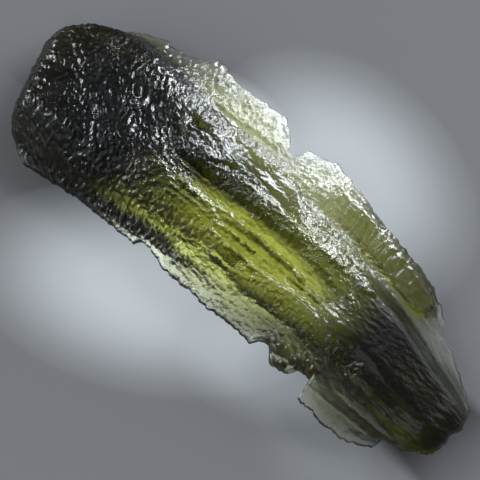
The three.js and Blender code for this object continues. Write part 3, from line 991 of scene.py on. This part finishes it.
apart = floor_nodes.new("ShaderNodeVectorMath")
ways = floor_nodes.new("ShaderNodeSeparateXYZ")
furthest = floor_nodes.new("ShaderNodeMath")
open_floor = floor_nodes.new("ShaderNodeMapRange")
apart.operation = "ABSOLUTE"
furthest.operation = "MAXIMUM"
open_floor.interpolation_type = "SMOOTHSTEP"
open_floor.inputs["From Min"].default_value = SHADE_FULL
open_floor.inputs["From Max"].default_value = SHADE_GONE
open_floor.inputs["To Min"].default_value = LEFT_IN_SHADE
floor_links.new(own_axes(SHADE_CENTRE, SHADE_REACH, SHADE_TURN), apart.inputs[0])
floor_links.new(apart.outputs["Vector"], ways.inputs["Vector"])
floor_links.new(ways.outputs["X"], furthest.inputs[0])
floor_links.new(ways.outputs["Y"], furthest.inputs[1])
floor_links.new(furthest.outputs["Value"], open_floor.inputs["Value"])
print("left of the light in the shade:", LEFT_IN_SHADE)

# %% Paint the floor, with painted shade under the stone, and light its pools
FLOOR_ROUGH = 0.75
BLACK, PALE_GREY = (0, 0, 0, 1), (0.62, 0.62, 0.64, 1)
COOL_WHITE = (0.84, 0.93, 1)

board = floor_nodes["Principled BSDF"]
shaded = floor_nodes.new("ShaderNodeMath")
floor_paint_and_painted_shade = floor_nodes.new("ShaderNodeMix")
shaded.operation = "MULTIPLY"
floor_paint_and_painted_shade.data_type = "RGBA"
# Under the stone the floor's colour falls to a fifth of the pale grey: painted shade.
floor_paint_and_painted_shade.inputs["A"].default_value = BLACK
floor_paint_and_painted_shade.inputs["B"].default_value = PALE_GREY
board.inputs["Roughness"].default_value = FLOOR_ROUGH
board.inputs["Emission Color"].default_value = (*COOL_WHITE, 1)
floor_links.new(all_pools, shaded.inputs[0])
floor_links.new(open_floor.outputs["Result"], shaded.inputs[1])
floor_links.new(open_floor.outputs["Result"], floor_paint_and_painted_shade.inputs["Factor"])
floor_links.new(shaded.outputs["Value"], board.inputs["Emission Strength"])
floor_links.new(floor_paint_and_painted_shade.outputs["Result"], board.inputs["Base Color"])
print("floor nodes:", len(floor_nodes))

# %% [markdown]
# ## Soft studio light
# A broad, dim window lamp behind the stone lights the floor and draws the wrinkles: only faces that lean
# towards it mirror it, so level glass stays dark. A fill lamp softens the shadows. Three more lamps shine
# on the stone alone, so they cast no second shadow on the floor: a small bright bar close behind the upper
# edge, which the crumpled ridges mirror as sparkle; a glint from the side of the thick end for its pits;
# and a dim sheen high up for level glass. They are hidden from rays that pass through the glass.

# %% Hang the lamps
LAMP_COLOUR = (0.9, 0.95, 1)
MIDDLE = Vector((0, 1.5, 6))


def soft_lamp(name, place, size, radiance):
    """A flat lamp that looks at the middle of the stone: place, width and height in millimetres."""
    light = bpy.data.lights.new(name, "AREA")
    light.shape = "RECTANGLE"
    light.size, light.size_y = size[0] * MM, size[1] * MM
    light.energy = radiance * math.pi * light.size * light.size_y
    light.color = LAMP_COLOUR
    hung = bpy.data.objects.new(name, light)
    hung.location = place * MM
    hung.rotation_euler = (place - MIDDLE).to_track_quat("Z", "Y").to_euler()
    bpy.context.scene.collection.objects.link(hung)
    return hung


def far_off(azimuth, elevation, distance=600):
    """A place seen from the stone at two angles, in degrees."""
    a, e = math.radians(azimuth), math.radians(elevation)
    return Vector((math.sin(a) * math.cos(e), -math.cos(a) * math.cos(e), math.sin(e))) * distance


window = soft_lamp("window", far_off(150, 30), (600, 600), 1.4)
fill = soft_lamp("fill", far_off(341, 42), (400, 400), 0.8)
print("lamps, in watts:", [(lamp.name, round(lamp.data.energy, 3)) for lamp in (window, fill)])

# %% Hang the lamps for the stone alone
stone_lamps = [
    soft_lamp("sparkle", Vector((0, 21, 13)), (26, 13), 32),
    soft_lamp("glint", far_off(290, 19), (200, 160), 32),
    soft_lamp("sheen", far_off(219, 68), (260, 260), 0.7),
]
for_the_stone = bpy.data.collections.new("for_the_stone")
for_the_stone.objects.link(stone)
for stone_lamp in stone_lamps:
    stone_lamp.visible_camera = False
    stone_lamp.visible_transmission = False
    stone_lamp.light_linking.receiver_collection = for_the_stone
print("lamps, in watts:", [(lamp.name, round(lamp.data.energy, 3)) for lamp in stone_lamps])

# %% [markdown]
# ## A light panel under the stone
# The olive of the middle comes from light that passes right through two to five millimetres of glass. A flat
# lamp between the floor and the stone gives it, as a light box does under a film slide. A brighter floor
# could give it too, but would show beside the stone. The panel's brightness fades from its middle to its
# edge: a hard edge would be seen through the glass as a straight line.

# %% Slide the light panel under the stone
PANEL_CENTRE, PANEL_SIZE, PANEL_TURN = (0, -2.6), (33, 12.5), 7
PANEL_DROP = 0.01 * MM
PANEL_SPREAD = 130
PANEL_RADIANCE = 1.5

panel_light = bpy.data.lights.new("panel", "AREA")
panel_light.shape = "RECTANGLE"
panel_light.size, panel_light.size_y = PANEL_SIZE[0] * MM, PANEL_SIZE[1] * MM
panel_light.spread = math.radians(PANEL_SPREAD)
panel_light.energy = PANEL_RADIANCE * math.pi * panel_light.size * panel_light.size_y
panel_light.color = COOL_WHITE
panel = bpy.data.objects.new("panel", panel_light)
panel.location = (PANEL_CENTRE[0] * MM, PANEL_CENTRE[1] * MM, -PANEL_DROP)
panel.rotation_euler = (math.pi, 0, math.radians(PANEL_TURN))
bpy.context.scene.collection.objects.link(panel)
print("panel of", PANEL_SIZE, "mm, in watts:", round(panel_light.energy, 4))

# %% Fade the panel towards its edge
PANEL_MIDDLE = (0.5, 0.5, 0)
FADE_STARTS, FADE_ENDS = 0.1, 0.5

panel_light.use_nodes = True
panel_nodes, panel_links = panel_light.node_tree.nodes, panel_light.node_tree.links
on_panel = panel_nodes.new("ShaderNodeNewGeometry")
from_middle = panel_nodes.new("ShaderNodeVectorMath")
fading = panel_nodes.new("ShaderNodeMapRange")
from_middle.operation = "DISTANCE"
from_middle.inputs[1].default_value = PANEL_MIDDLE
fading.interpolation_type = "SMOOTHSTEP"
fading.inputs["From Min"].default_value = FADE_STARTS
fading.inputs["From Max"].default_value = FADE_ENDS
fading.inputs["To Min"].default_value = 1
fading.inputs["To Max"].default_value = 0
panel_links.new(on_panel.outputs["Parametric"], from_middle.inputs[0])
panel_links.new(from_middle.outputs["Value"], fading.inputs["Value"])
panel_links.new(fading.outputs["Result"], panel_nodes["Emission"].inputs["Strength"])
print("panel nodes:", len(panel_nodes))

# %% [markdown]
# ## How the picture is developed
# A faint cool light from all around keeps the shadows from going black. Light crosses many surfaces inside
# the stone, so more bounces are allowed than usual, but caustics, which only add noise, are left out.
# The plain view transform keeps the contrast between bright rims and the dark end.

# %% Surroundings, bounces and tones
SURROUNDINGS = 0.09
MOST_BOUNCES, MOST_GLOSSY = 32, 8

world = bpy.data.worlds.new("studio")
world.use_nodes = True
sky = world.node_tree.nodes["Background"]
sky.inputs["Color"].default_value = (*LAMP_COLOUR, 1)
sky.inputs["Strength"].default_value = SURROUNDINGS

scene = bpy.context.scene
scene.world = world
scene.cycles.max_bounces = MOST_BOUNCES
scene.cycles.transmission_bounces = MOST_BOUNCES
scene.cycles.glossy_bounces = MOST_GLOSSY
scene.cycles.caustics_reflective = False
scene.cycles.caustics_refractive = False
scene.view_settings.view_transform = "Standard"
print("bounces:", scene.cycles.max_bounces, "tones:", scene.view_settings.view_transform)
